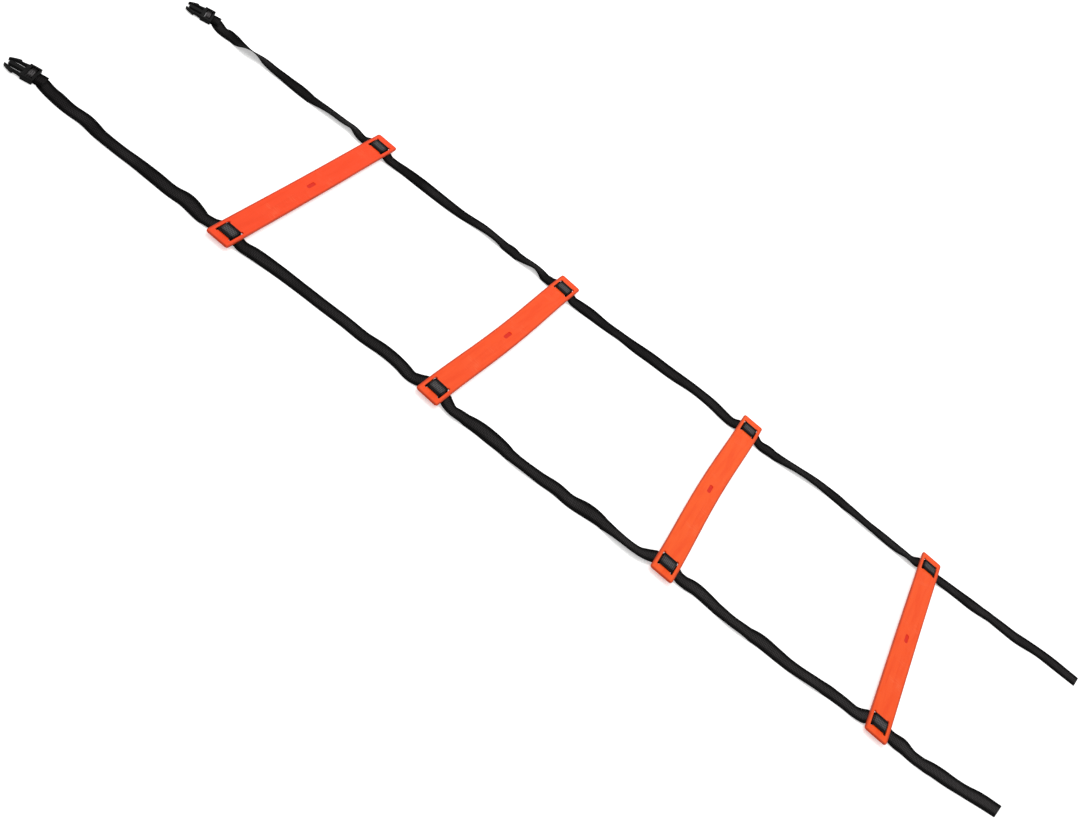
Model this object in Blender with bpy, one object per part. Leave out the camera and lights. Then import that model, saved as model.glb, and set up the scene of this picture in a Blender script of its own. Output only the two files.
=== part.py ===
"""Agility ladder: four slotted slats on two webbing straps, each strap ending in a buckle half.

Metres, +X along the straps from the buckle end to the bare end, +Y from the near strap to the
far one, +Z up. The ladder lies on the floor with its bounding box centred over the origin.
"""
import math

import bmesh
import bpy
import numpy as np
from mathutils import Matrix, Vector

# layout of the ladder
rungPitch = 0.365          # mean distance from slat to slat along the straps
strapSpacing = 0.3865      # distance between the slot centres of one slat
buckleReach = 0.3655       # first slat to buckle tip
nearTailLength = 0.214     # last slat to the bare end of the near strap
farTailLength = 0.312      # last slat to the bare end of the far strap

# webbing
webWidth = 0.025
webThickness = 0.0015
webEdge = 0.0006           # bevel along both selvedges
touchGap = 0.0003          # air left between pieces that bear on each other
stationStep = 0.011        # distance between the cross-sections of a loose stretch

# slat
rungWidth = 0.037
rungThickness = 0.0032
rungEndReach = 0.028       # slot centre to the end of the slat
rungCorner = 0.004
rungEdge = 0.0006
slotWidth = 0.0034
slotEase = 0.0028          # slot is longer than the webbing is wide, at each end
webDrift = 0.0012          # the webbing sits this far off the slot middles, towards the near side
slotCorner = 0.0012
bridgeWidth = 0.019        # bar between the two slots of a pair
recessLength = 0.020
recessWidth = 0.006
recessDepth = 0.0006
weaveInset = 0.003         # the woven stretch stops this far inside the slat's edge
seatLift = 0.004           # stiff webbing holds each slat this far off the floor
leadLength = 0.003         # webbing runs straight this far from each slat before it waves
creaseLead = 0.002         # and this far from the crease behind a buckle
slopeStep = 0.002          # reach to each side over which a strap's direction is taken

# buckle half
buckleLength = 0.042
buckleWidth = 0.034
buckleHeight = 0.0070
buckleEdge = 0.0007
rearBarWidth = 0.0031
buckleSlot = 0.0033        # between the centre bar and the rear bar
frontSlot = 0.0026         # between the front wall and the centre bar
centreBarWidth = 0.0036
centreBarHeight = 0.0026
rearBarHeight = 0.0028
frontWallWidth = 0.0037
windowEase = 0.0008
plugLow = 0.0012
plugHeight = 0.0046
plugRoot = 0.0015          # plug runs this far into the front wall
tongueWidth = 0.0084
tongueInset = 0.0035       # tongue ends this far short of the prong tips
tongueNose = 0.0018        # length of the taper at the end of the tongue
plugFillet = 0.0012        # slope in the throat between tongue and prong
hingeGap = 0.0040          # rear bar to the crease where the webbing bends
tagLength = 0.008          # free end past the crease

# joints
upperFoldHeight = 0.016    # crease height of the spans that fold upward
lowerFoldDepth = 0.004     # crease depth of the span that folds downward
cutOverrun = 0.002         # cutters run this far past what they cut

# where the slats lie: place along the straps, in pitches from the middle
rungPlaceShares = (-1.490, -0.525, 0.513, 1.513)
rungSkewDegrees = (5.0, 8.2, 5.4, 5.9)
rungBowShares = (0.02, 0.09, -0.10, -0.01)    # sideways bow of each slat, in slat widths

# how each loose stretch waves: share of its length, sideways in webbing widths,
# roll in degrees (far edge up), lift in webbing widths
nearSwayShares = {
    "start": ((0.03, -0.10, 0, 0.00), (0.05, -0.15, 0, 0.00), (0.10, -0.25, 6, 0.00),
              (0.18, -0.28, 3, 0.00), (0.27, -0.17, 5, 0.02), (0.36, -0.28, -1, 0.00),
              (0.45, -0.26, -1, 0.00), (0.55, -0.19, 2, 0.02), (0.66, -0.17, 7, 0.00),
              (0.76, -0.16, 7, 0.00), (0.83, -0.07, 18, 0.00), (0.90, -0.17, 9, 0.02),
              (0.95, -0.20, -2, 0.03), (0.98, -0.05, 0, 0.06)),
    "12": ((0.02, 0.02, 0, 0.07), (0.08, 0.08, 6, 0.04), (0.19, 0.20, 4, 0.00),
           (0.32, 0.21, 0, 0.00), (0.46, 0.15, 0, 0.00), (0.57, 0.13, 0, 0.00),
           (0.67, 0.03, 0, 0.00), (0.78, 0.08, 3, 0.02), (0.88, -0.05, 1, 0.02),
           (0.95, -0.32, 0, 0.03), (0.98, -0.15, 0, 0.06)),
    "23": ((0.02, -0.19, -6, 0.03), (0.045, -0.35, -6, 0.01), (0.08, -0.26, -5, 0.02),
           (0.16, -0.20, 10, 0.00), (0.22, -0.26, 13, 0.00), (0.29, -0.30, 5, 0.02),
           (0.35, -0.42, -5, 0.00), (0.45, -0.41, -2, 0.00), (0.54, -0.36, 4, 0.02),
           (0.61, -0.46, 4, 0.00), (0.68, -0.38, 15, 0.00), (0.75, -0.28, 4, 0.02),
           (0.82, -0.43, -11, 0.00), (0.89, -0.52, -15, 0.00), (0.95, -0.44, -13, 0.00),
           (0.98, -0.18, -8, 0.03)),
    "34": ((0.02, -0.05, 0, 0.07), (0.045, -0.09, -1, 0.05), (0.09, 0.04, 5, 0.02),
           (0.19, -0.08, 2, 0.00), (0.30, -0.29, -6, 0.00), (0.37, -0.28, -4, 0.02),
           (0.44, -0.23, 8, 0.00), (0.54, -0.29, 4, 0.00), (0.65, -0.32, -3, 0.00),
           (0.73, -0.26, -4, 0.02), (0.80, -0.14, 1, 0.00), (0.88, -0.13, -1, 0.00),
           (0.92, -0.17, -1, 0.01), (0.95, -0.26, -2, 0.03), (0.98, -0.15, 0, 0.06)),
    "end": ((0.03, -0.04, 3, 0.08), (0.06, -0.10, 9, 0.03), (0.13, -0.06, 15, 0.00),
            (0.22, -0.13, 2, 0.00), (0.30, -0.15, -2, 0.00), (0.40, -0.08, 5, 0.02),
            (0.50, -0.03, 9, 0.00), (0.62, 0.09, 2, 0.02), (0.72, 0.21, 2, 0.00),
            (0.83, 0.32, 9, 0.00), (1.00, 0.48, 6, 0.00)),
}
farSwayShares = {
    "start": ((0.03, -0.21, 0, 0.00), (0.05, -0.36, 0, 0.00), (0.09, -0.43, 10, 0.00),
              (0.14, -0.29, 3, 0.02), (0.19, -0.38, -6, 0.00), (0.25, -0.45, -34, 0.00),
              (0.31, -0.16, -14, 0.00), (0.38, -0.20, -7, 0.00), (0.47, -0.15, -1, 0.02),
              (0.58, -0.19, 6, 0.00), (0.66, -0.12, -4, 0.00), (0.74, -0.02, -13, 0.00),
              (0.85, 0.08, -14, 0.00), (0.90, 0.13, -17, 0.02), (0.935, -0.03, -11, 0.02),
              (0.965, -0.15, -5, 0.03), (0.98, -0.10, -1, 0.06)),
    "12": ((0.02, -0.05, 0, 0.07), (0.04, -0.03, -1, 0.05), (0.10, 0.07, 2, 0.02),
           (0.20, 0.03, 8, 0.00), (0.30, 0.00, 7, 0.00), (0.40, 0.00, 3, 0.02),
           (0.50, 0.17, -2, 0.00), (0.58, 0.30, -4, 0.02), (0.66, 0.24, -9, 0.00),
           (0.75, 0.17, 5, 0.00), (0.82, 0.14, -8, 0.00), (0.89, 0.27, -16, 0.00),
           (0.94, 0.12, -5, 0.02), (0.965, -0.02, 6, 0.02), (0.98, -0.08, 7, 0.03)),
    "23": ((0.02, -0.03, 1, 0.07), (0.04, -0.04, 5, 0.05), (0.12, 0.03, 10, 0.00),
           (0.20, 0.06, 3, 0.00), (0.31, 0.14, 0, 0.02), (0.39, 0.06, 8, 0.00),
           (0.48, 0.11, 11, 0.00), (0.55, 0.10, 11, 0.00), (0.61, 0.13, 10, 0.00),
           (0.72, 0.32, 3, 0.02), (0.79, 0.30, 4, 0.00), (0.86, 0.16, 6, 0.00),
           (0.92, -0.08, 4, 0.03), (0.95, -0.13, 3, 0.03), (0.98, -0.19, 4, 0.05)),
    "34": ((0.02, -0.15, 0, 0.06), (0.045, -0.16, 1, 0.03), (0.08, -0.10, 4, 0.03),
           (0.17, 0.02, -6, 0.00), (0.26, 0.19, -11, 0.00), (0.36, 0.36, -6, 0.02),
           (0.45, 0.43, -1, 0.00), (0.53, 0.34, 1, 0.00), (0.60, 0.19, -5, 0.02),
           (0.71, 0.04, -7, 0.00), (0.80, 0.02, -2, 0.00), (0.88, -0.07, -5, 0.00),
           (0.92, -0.09, -12, 0.00), (0.95, -0.17, -14, 0.00), (0.98, -0.16, -5, 0.04)),
    "end": ((0.02, -0.01, 0, 0.08), (0.05, 0.08, 0, 0.04), (0.15, 0.13, 2, 0.00),
            (0.25, 0.07, 7, 0.00), (0.37, 0.26, -1, 0.02), (0.46, 0.23, 3, 0.00),
            (0.56, 0.17, 5, 0.00), (0.62, 0.28, 3, 0.02), (0.71, 0.48, 1, 0.00),
            (0.82, 0.45, 5, 0.00), (0.91, 0.42, 4, 0.00), (1.00, 0.40, 2, 0.00)),
}

# places that follow from the sizes above
rungLength = strapSpacing + 2 * rungEndReach
rungLow = seatLift + webThickness + touchGap
rungTop = rungLow + rungThickness
bendRadius = webThickness / 2 + touchGap
seamReach = rungWidth / 2 - weaveInset
rungPlaces = [share * rungPitch for share in rungPlaceShares]
foldPlaces = [(a + b) / 2 for a, b in zip(rungPlaces, rungPlaces[1:])]
strapSides = {"near": -1, "far": 1}
swayShares = {"near": nearSwayShares, "far": farSwayShares}
tailLengths = {"near": nearTailLength, "far": farTailLength}
buckleTurnDegrees = {"near": 15, "far": 19}       # tip swung towards the near side
buckleShift = {"near": 0.0200, "far": 0.0105}      # crease sideways from the slots

rungColour = (0.92, 0.10, 0.035, 1)
webColour = (0.013, 0.013, 0.014, 1)
buckleColour = (0.016, 0.016, 0.017, 1)

frames = {}    # world matrix of every empty, by name


def clearScene():
    for old in list(bpy.data.objects):
        bpy.data.objects.remove(old, do_unlink=True)


def makeMaterial(name, colour, roughness):
    material = bpy.data.materials.new(name)
    material.use_nodes = True
    shader = material.node_tree.nodes["Principled BSDF"]
    shader.inputs["Base Color"].default_value = colour
    shader.inputs["Roughness"].default_value = roughness
    shader.inputs["Metallic"].default_value = 0
    return material


def addFrame(name, parent, place, turnDegrees=0):
    """An empty at a world place, turned about the vertical, carried by a parent empty."""
    world = Matrix.Translation(place) @ Matrix.Rotation(math.radians(turnDegrees), 4, "Z")
    empty = bpy.data.objects.new(name, None)
    bpy.context.collection.objects.link(empty)
    if parent:
        empty.parent = bpy.data.objects[parent]
        empty.matrix_basis = frames[parent].inverted() @ world
    else:
        empty.matrix_basis = world
    frames[name] = world


def addObject(name, mesh, frame, material=None):
    """A mesh object whose vertices are already in the frame's own axes."""
    piece = bpy.data.objects.new(name, mesh)
    bpy.context.collection.objects.link(piece)
    piece.parent = bpy.data.objects[frame]
    if material:
        mesh.materials.append(material)
    else:
        piece.hide_render = True
        piece.display_type = "WIRE"
    return piece


def meshFrom(bm, name, turnOut=True, smoothDegrees=30):
    """A mesh with soft shading; turnOut works out which way the faces look."""
    if turnOut:
        bmesh.ops.recalc_face_normals(bm, faces=bm.faces)
    mesh = bpy.data.meshes.new(name)
    bm.to_mesh(mesh)
    bm.free()
    mesh.polygons.foreach_set("use_smooth", [True] * len(mesh.polygons))
    mesh.set_sharp_from_angle(angle=math.radians(smoothDegrees))
    return mesh


def prism(outline, low, high):
    """A solid between two heights over a closed outline of (x, y) points."""
    bm = bmesh.new()
    face = bm.faces.new([bm.verts.new((x, y, low)) for x, y in outline])
    raised = bmesh.ops.extrude_face_region(bm, geom=[face])
    top = [v for v in raised["geom"] if isinstance(v, bmesh.types.BMVert)]
    bmesh.ops.translate(bm, verts=top, vec=(0, 0, high - low))
    return bm


def bevelEdges(bm, width, minDegrees=50, segments=2):
    bmesh.ops.recalc_face_normals(bm, faces=bm.faces)
    sharp = [e for e in bm.edges if e.calc_face_angle(0) > math.radians(minDegrees)]
    bmesh.ops.bevel(bm, geom=sharp, offset=width, segments=segments, affect="EDGES",
                    profile=0.5, clamp_overlap=True)
    return bm


def roundedOutline(low, high, radius, steps=3):
    """Corners of a rectangle turned by quarter arcs, anticlockwise."""
    corners = ((high[0], low[1], -90), (high[0], high[1], 0),
               (low[0], high[1], 90), (low[0], low[1], 180))
    points = []
    for x, y, start in corners:
        inward = math.radians(start + 45)
        cx = x - radius * math.copysign(1, math.cos(inward))
        cy = y - radius * math.copysign(1, math.sin(inward))
        for step in range(steps + 1):
            angle = math.radians(start + 90 * step / steps)
            points.append((cx + radius * math.cos(angle), cy + radius * math.sin(angle)))
    return points


def roundedBox(low, high, edge):
    """A box between two corners with every edge rounded."""
    bm = prism([(high[0], low[1]), (high[0], high[1]), (low[0], high[1]), (low[0], low[1])],
               low[2], high[2])
    return bevelEdges(bm, edge)


def mergeInto(bm, other):
    """Adds the shells of a second bmesh to the first."""
    spare = bpy.data.meshes.new("spare")
    other.to_mesh(spare)
    other.free()
    bm.from_mesh(spare)
    bpy.data.meshes.remove(spare)


def booleanWith(piece, tool, operation):
    modifier = piece.modifiers.new(operation.lower(), "BOOLEAN")
    modifier.object = tool
    modifier.operation = operation
    modifier.solver = "EXACT"


def slatOutline(bowShare, sideSteps=12, cornerSteps=3):
    """Rounded rectangle whose long sides bow sideways together between the slots."""
    def bowAt(y):
        reach = min(1, abs(2 * y / strapSpacing))
        return bowShare * rungWidth * (1 - reach ** 2) ** 2

    half = (rungWidth / 2, rungLength / 2)
    corners = roundedOutline((-half[0], -half[1]), half, rungCorner, cornerSteps)
    count = cornerSteps + 1
    straight = half[1] - rungCorner
    inner = [straight * (2 * step / sideSteps - 1) for step in range(1, sideSteps)]
    right = [(half[0] + bowAt(y), y) for y in inner]
    left = [(-half[0] + bowAt(y), y) for y in reversed(inner)]
    return corners[:count] + right + corners[count:3 * count] + left + corners[3 * count:]


def slotCutter():
    """Four slots, a pair around the bridge bar at each end of the slat."""
    halfSlot = webWidth / 2 + slotEase
    low, high = rungLow - cutOverrun, rungTop + cutOverrun
    cutter = bmesh.new()
    for side in strapSides.values():
        middle = side * strapSpacing / 2
        for inner in (-bridgeWidth / 2 - slotWidth, bridgeWidth / 2):
            outline = roundedOutline((inner, middle - halfSlot),
                                     (inner + slotWidth, middle + halfSlot), slotCorner)
            mergeInto(cutter, prism(outline, low, high))
    return cutter


def recessCutter(bowShare, steps=8):
    """A shallow pill in the middle of the slat's upper face."""
    radius = recessWidth / 2
    reach = recessLength / 2 - radius
    outline = []
    for centreY, startDegrees in ((reach, 0), (-reach, 180)):
        for step in range(steps + 1):
            angle = math.radians(startDegrees + 180 * step / steps)
            outline.append((bowShare * rungWidth + radius * math.cos(angle),
                            centreY + radius * math.sin(angle)))
    return prism(outline, rungTop - recessDepth, rungTop + cutOverrun)


def makeRung(index, frame, material):
    name = f"rung_{index + 1}"
    bow = rungBowShares[index]
    slat = addObject(name, meshFrom(prism(slatOutline(bow), rungLow, rungTop), name), frame, material)
    slots = addObject(f"{name}_slot_cutter", meshFrom(slotCutter(), "slots"), frame)
    recess = addObject(f"{name}_recess_cutter", meshFrom(recessCutter(bow), "recess"), frame)
    booleanWith(slat, slots, "DIFFERENCE")
    soften = slat.modifiers.new("edges", "BEVEL")
    soften.width = rungEdge
    soften.segments = 2
    soften.limit_method = "ANGLE"
    soften.angle_limit = math.radians(50)
    soften.harden_normals = True
    booleanWith(slat, recess, "DIFFERENCE")


def webLoft(stations):
    """A strap lofted through stations: each has a centre, a side vector and a face normal."""
    halfWidth, halfThick = webWidth / 2, webThickness / 2
    section = ((halfWidth, 0), (halfWidth - webEdge, halfThick), (webEdge - halfWidth, halfThick),
               (-halfWidth, 0), (webEdge - halfWidth, -halfThick), (halfWidth - webEdge, -halfThick))
    bm = bmesh.new()
    rings = []
    for centre, side, normal in stations:
        rings.append([bm.verts.new(centre + side * a + normal * b) for a, b in section])
    for first, second in zip(rings, rings[1:]):
        for k in range(len(section)):
            n = (k + 1) % len(section)
            bm.faces.new((first[k], first[n], second[n], second[k]))
    bm.faces.new(reversed(rings[0]))
    bm.faces.new(rings[-1])
    return bm


def flatPathStations(path, middle):
    """Stations of a strap whose path stays in one upright plane: path of (x, z) points."""
    stations = []
    for k, (x, z) in enumerate(path):
        before, after = path[max(k - 1, 0)], path[min(k + 1, len(path) - 1)]
        along = Vector((after[0] - before[0], 0, after[1] - before[1])).normalized()
        side = Vector((0, 1, 0))
        stations.append((Vector((x, middle, z)), side, along.cross(side)))
    return stations


def bendPoints(centre, startDegrees, endDegrees, steps=3):
    """Points on the bend of the webbing's middle round one edge of a bar."""
    points = []
    for step in range(steps + 1):
        angle = math.radians(startDegrees + (endDegrees - startDegrees) * step / steps)
        points.append((centre[0] + bendRadius * math.cos(angle),
                       centre[1] + bendRadius * math.sin(angle)))
    return points


def crossingDegrees(first, second):
    """Slope of the straight that passes one bend on its right and the next on its left."""
    apart = (second[0] - first[0], second[1] - first[1])
    return math.degrees(math.atan2(apart[1], apart[0])
                        + math.asin(2 * bendRadius / math.hypot(*apart)))


def weavePath():
    """Under one lip, up a slot, over the bridge bar, down the other slot, under the other lip."""
    lip = (-bridgeWidth / 2 - slotWidth, rungLow)
    bar = (-bridgeWidth / 2, rungTop)
    slope = crossingDegrees(lip, bar)
    rise = [(-seamReach + touchGap / 2, rungLow - bendRadius)]
    rise += bendPoints(lip, -90, slope - 90)
    rise += bendPoints(bar, slope + 90, 90)
    return rise + [(-x, z) for x, z in reversed(rise)]


def strapMiddle(side):
    """Sideways place of the webbing in a slat's own axes."""
    return side * strapSpacing / 2 - webDrift


def rungPoint(index, localX, localY):
    """World place of a point given in a slat's own axes."""
    return frames[f"rung_{index + 1}_slide"] @ Vector((localX, localY, 0))


def splineAt(knots, values, x, heldEnd):
    """Cubic curve through the knots, straight along the first gap and, if held, along the last."""
    knots, values = np.asarray(knots, float), np.asarray(values, float)
    chords = np.diff(values) / np.diff(knots)
    slopes = np.empty_like(values)
    slopes[1:-1] = (chords[:-1] + chords[1:]) / 2
    slopes[:2] = chords[0]
    slopes[-2 if heldEnd else -1:] = chords[-1]
    k = np.clip(np.searchsorted(knots, x) - 1, 0, len(knots) - 2)
    gap = knots[k + 1] - knots[k]
    t = (x - knots[k]) / gap
    start = values[k] * (1 + 2 * t) * (1 - t) ** 2 + slopes[k] * gap * t * (1 - t) ** 2
    end = values[k + 1] * t ** 2 * (3 - 2 * t) + slopes[k + 1] * gap * t ** 2 * (t - 1)
    return start + end


def looseRoute(start, end, sway, low, high):
    """Stations of a loose strap between two ends, taken between two places along X.

    An end is a dictionary: place, slope, lift and lead. The strap leaves each held end straight
    for the lead. Between the leads it swings sideways, rolls and lifts as the sway list says,
    with closer stations where it drops from a slat. It never dips below the floor.
    """
    leadIn, leadOut = start["x"] + start["lead"], end["x"] - end["lead"]
    inY = start["y"] + start["slope"] * start["lead"]
    outY = end["y"] - end["slope"] * end["lead"]
    xs, ys = [start["x"], leadIn], [start["y"], inY]
    rolls, lifts = [0, 0], [start["lift"]] * len(xs)
    for share, aside, roll, lift in sway:
        xs.append(leadIn + share * (leadOut - leadIn))
        ys.append(inY + share * (outY - inY) + aside * webWidth)
        rolls.append(roll)
        lifts.append(lift * webWidth)
    heldEnd = end["lead"] > 0
    if heldEnd:
        xs += [leadOut, end["x"]]
        ys += [outY, end["y"]]
        rolls += [0, 0]
        lifts += [end["lift"], end["lift"]]
    left, right = max(low, leadIn), min(high, leadOut)
    x = np.linspace(left, right, round((right - left) / stationStep) + 1)
    dips = [(first + second) / 2 for first, second, seat in
            ((x[0], x[1], start), (x[-2], x[-1], end)) if seat["lift"]]
    x = np.unique(np.concatenate(([low], x, dips, [high])))

    def middleAt(x):
        roll = np.radians(splineAt(xs, rolls, x, heldEnd))
        lift = np.maximum(0, splineAt(xs, lifts, x, heldEnd))
        clear = webThickness / 2 * np.cos(roll) + (webWidth / 2 - webEdge) * np.abs(np.sin(roll))
        return np.stack([x, splineAt(xs, ys, x, heldEnd), clear + lift], axis=1), roll

    points, roll = middleAt(x)
    ahead = middleAt(np.minimum(x + slopeStep, end["x"]))[0]
    behind = middleAt(np.maximum(x - slopeStep, start["x"]))[0]
    stations = []
    for point, rolled, along in zip(points, roll, ahead - behind):
        along = Vector(along).normalized()
        level = Vector((-along.y, along.x, 0)).normalized()
        side = Matrix.Rotation(rolled, 3, along) @ level
        stations.append((Vector(point), side, along.cross(side)))
    return stations


def addLoose(name, frame, stations, material):
    """A loose stretch, worked out in world axes and hung on its own body's empty."""
    inward = frames[frame].inverted()
    turned = [(inward @ p, inward.to_3x3() @ s, inward.to_3x3() @ n) for p, s, n in stations]
    addObject(name, meshFrom(webLoft(turned), name, turnOut=False), frame, material)


def slotEnd(index, side, direction):
    """End of a loose stretch at the seam where the webbing leaves one slat on one side."""
    place = rungPoint(index, direction * (seamReach + touchGap / 2), strapMiddle(side))
    return {"x": place.x, "y": place.y, "slope": -math.tan(math.radians(rungSkewDegrees[index])),
            "lift": seatLift, "lead": leadLength}


def makeSpan(strap, index, material):
    """Two half spans of one strap between two slats, parted where the ladder folds."""
    side = strapSides[strap]
    start, end = slotEnd(index, side, 1), slotEnd(index + 1, side, -1)
    crease = foldPlaces[index]
    label = f"{index + 1}{index + 2}"
    halves = (("a", index, start["x"], crease - touchGap / 2),
              ("b", index + 1, crease + touchGap / 2, end["x"]))
    for half, body, low, high in halves:
        stations = looseRoute(start, end, swayShares[strap][label], low, high)
        addLoose(f"span_{label}_{strap}_{half}", bodyFrames[body], stations, material)


def creasePlace(strap):
    """World place where the webbing bends behind a buckle half."""
    side = strapSides[strap]
    slot = rungPoint(0, 0, side * strapSpacing / 2)
    turn = math.radians(buckleTurnDegrees[strap])
    tip = slot.x - buckleReach
    x = tip + (buckleLength + hingeGap) * math.cos(turn)
    return Vector((x, slot.y + buckleShift[strap], webThickness / 2))


def makeStartTail(strap, material):
    crease = creasePlace(strap)
    slope = math.tan(math.radians(buckleTurnDegrees[strap]))
    gap = touchGap / 2
    start = {"x": crease.x + gap, "y": crease.y + slope * gap, "slope": slope,
             "lift": 0, "lead": creaseLead}
    end = slotEnd(0, strapSides[strap], -1)
    stations = looseRoute(start, end, swayShares[strap]["start"], start["x"], end["x"])
    addLoose(f"start_tail_{strap}", bodyFrames[0], stations, material)


def makeEndTail(strap, material):
    last = len(rungPlaces) - 1
    start = slotEnd(last, strapSides[strap], 1)
    end = {"x": start["x"] - seamReach + tailLengths[strap], "y": start["y"], "slope": 0,
           "lift": 0, "lead": 0}
    stations = looseRoute(start, end, swayShares[strap]["end"], start["x"], end["x"])
    addLoose(f"end_tail_{strap}", bodyFrames[last], stations, material)


def buckleLayout():
    """Places along the buckle, from the crease at zero towards the tip at minus X."""
    rear = -hingeGap
    rearFront = rear - rearBarWidth
    centreRear = rearFront - buckleSlot
    centreFront = centreRear - centreBarWidth
    wallRear = centreFront - frontSlot
    wallFront = wallRear - frontWallWidth
    return {"rear": rear, "rearFront": rearFront, "centreRear": centreRear,
            "centreFront": centreFront, "wallRear": wallRear, "wallFront": wallFront,
            "tip": rear - buckleLength}


def plugOutline(layout):
    """Guide tongue and two spring prongs in plan, one closed outline that mirrors about Y zero."""
    root = layout["wallFront"] + plugRoot
    reach = root - layout["tip"]
    half = buckleWidth / 2
    tongueTip = layout["tip"] + tongueInset
    # share of the reach from root to tip, share of the half width
    outerShares = ((0.00, 0.93), (0.14, 0.86), (0.30, 0.80), (0.44, 0.79), (0.455, 0.95),
                   (0.55, 0.93), (0.72, 0.80), (0.90, 0.62), (0.98, 0.52), (1.00, 0.44))
    innerShares = ((0.99, 0.38), (0.90, 0.40), (0.70, 0.55), (0.50, 0.60), (0.30, 0.59),
                   (0.16, 0.60), (0.11, 0.54))
    outer = [(root - s * reach, w * half) for s, w in outerShares]
    inner = [(root - s * reach, w * half) for s, w in innerShares]
    throat = inner[-1][0]
    tongue = [(throat, tongueWidth / 2 + plugFillet), (throat - plugFillet, tongueWidth / 2),
              (tongueTip + tongueNose, tongueWidth / 2), (tongueTip, tongueWidth / 3)]
    oneSide = outer + inner + tongue
    return oneSide + [(x, -y) for x, y in reversed(oneSide)]


def makeBuckle(strap, frame, material):
    """Male half of a side-release buckle: ladder-lock frame, guide tongue and two prongs."""
    name = f"buckle_{strap}"
    layout = buckleLayout()
    floor = -webThickness / 2
    half = buckleWidth / 2
    window = webWidth / 2 + windowEase
    layer = webThickness + touchGap
    block = roundedBox((layout["wallFront"], -half, floor), (layout["rear"], half, floor + buckleHeight),
                       buckleEdge)
    buckle = addObject(name, meshFrom(block, name), frame, material)
    opening = prism(roundedOutline((layout["wallRear"], -window), (layout["rear"] + cutOverrun, window),
                                   buckleEdge), floor - cutOverrun, floor + buckleHeight + cutOverrun)
    tools = [("window", opening, "DIFFERENCE")]
    grip = window + buckleEdge
    centreLow = floor + layer
    tools.append(("centre_bar", roundedBox((layout["centreFront"], -grip, centreLow),
                                           (layout["centreRear"], grip, centreLow + centreBarHeight),
                                           buckleEdge), "UNION"))
    rearLow = floor + 2 * layer
    tools.append(("rear_bar", roundedBox((layout["rearFront"], -grip, rearLow),
                                         (layout["rear"], grip, rearLow + rearBarHeight),
                                         buckleEdge), "UNION"))
    plug = bevelEdges(prism(plugOutline(layout), floor + plugLow, floor + plugLow + plugHeight),
                      buckleEdge, 60)
    tools.append(("plug", plug, "UNION"))
    for label, shape, operation in tools:
        tool = addObject(f"{name}_{label}_tool", meshFrom(shape, label), frame)
        booleanWith(buckle, tool, operation)


def threadingPath():
    """In under both bars, up the front slot, back over the centre bar and out under the rear bar."""
    layout = buckleLayout()
    layer = webThickness + touchGap
    floor = -webThickness / 2
    low = floor + layer
    high = low + centreBarHeight
    frontX, rearX = layout["centreFront"], layout["centreRear"]
    rearBar = (layout["rearFront"], floor + 2 * layer)
    slope = -crossingDegrees((rearX, -high), (rearBar[0], -rearBar[1]))
    path = [(-touchGap / 2, 0)]
    path += bendPoints((frontX, low), -90, -180)
    path += bendPoints((frontX, high), 180, 90)
    path += bendPoints((rearX, high), 90, slope + 90)
    path += bendPoints(rearBar, slope - 90, -90)
    return path + [(tagLength, rearBar[1] - bendRadius)]


def centreOverOrigin():
    """Moves the whole ladder so that its bounding box is centred over the origin."""
    bpy.context.view_layer.update()
    solids = [o for o in bpy.data.objects if o.type == "MESH" and not o.hide_render]
    graph = bpy.context.evaluated_depsgraph_get()
    corners = []
    for solid in solids:
        mesh = solid.evaluated_get(graph).data
        points = np.empty(3 * len(mesh.vertices))
        mesh.vertices.foreach_get("co", points)
        world = np.array(solid.matrix_world)
        placed = points.reshape(-1, 3) @ world[:3, :3].T + world[:3, 3]
        corners += [placed.min(axis=0), placed.max(axis=0)]
    middle = (np.min(corners, axis=0) + np.max(corners, axis=0)) / 2
    bpy.data.objects["ladder_frame"].location = (-middle[0], -middle[1], 0)


bodyFrames = ["fold_12", "ladder_frame", "fold_23", "fold_34"]


def makeFrames():
    """Empties on the joint axes, nested as the bodies are."""
    addFrame("ladder_frame", None, (0, 0, 0))
    addFrame("fold_12", "ladder_frame", (foldPlaces[0], 0, upperFoldHeight))
    addFrame("fold_23", "ladder_frame", (foldPlaces[1], 0, -lowerFoldDepth))
    addFrame("fold_34", "fold_23", (foldPlaces[2], 0, upperFoldHeight))
    for index, x in enumerate(rungPlaces):
        addFrame(f"rung_{index + 1}_slide", bodyFrames[index], (x, 0, 0), -rungSkewDegrees[index])
    for strap in strapSides:
        addFrame(f"buckle_{strap}_swing", bodyFrames[0], creasePlace(strap), buckleTurnDegrees[strap])


def main():
    clearScene()
    rungPlastic = makeMaterial("rung_plastic", rungColour, 0.42)
    webbing = makeMaterial("webbing", webColour, 0.85)
    bucklePlastic = makeMaterial("buckle_plastic", buckleColour, 0.38)
    makeFrames()
    for index in range(len(rungPlaces)):
        slide = f"rung_{index + 1}_slide"
        makeRung(index, slide, rungPlastic)
        for strap, side in strapSides.items():
            stations = flatPathStations(weavePath(), strapMiddle(side))
            name = f"weave_{index + 1}_{strap}"
            addObject(name, meshFrom(webLoft(stations), name, turnOut=False), slide, webbing)
    for strap in strapSides:
        swing = f"buckle_{strap}_swing"
        makeBuckle(strap, swing, bucklePlastic)
        name = f"threading_{strap}"
        stations = flatPathStations(threadingPath(), 0)
        addObject(name, meshFrom(webLoft(stations), name, turnOut=False), swing, webbing)
        makeStartTail(strap, webbing)
        for index in range(len(foldPlaces)):
            makeSpan(strap, index, webbing)
        makeEndTail(strap, webbing)
    centreOverOrigin()


main()
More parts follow.
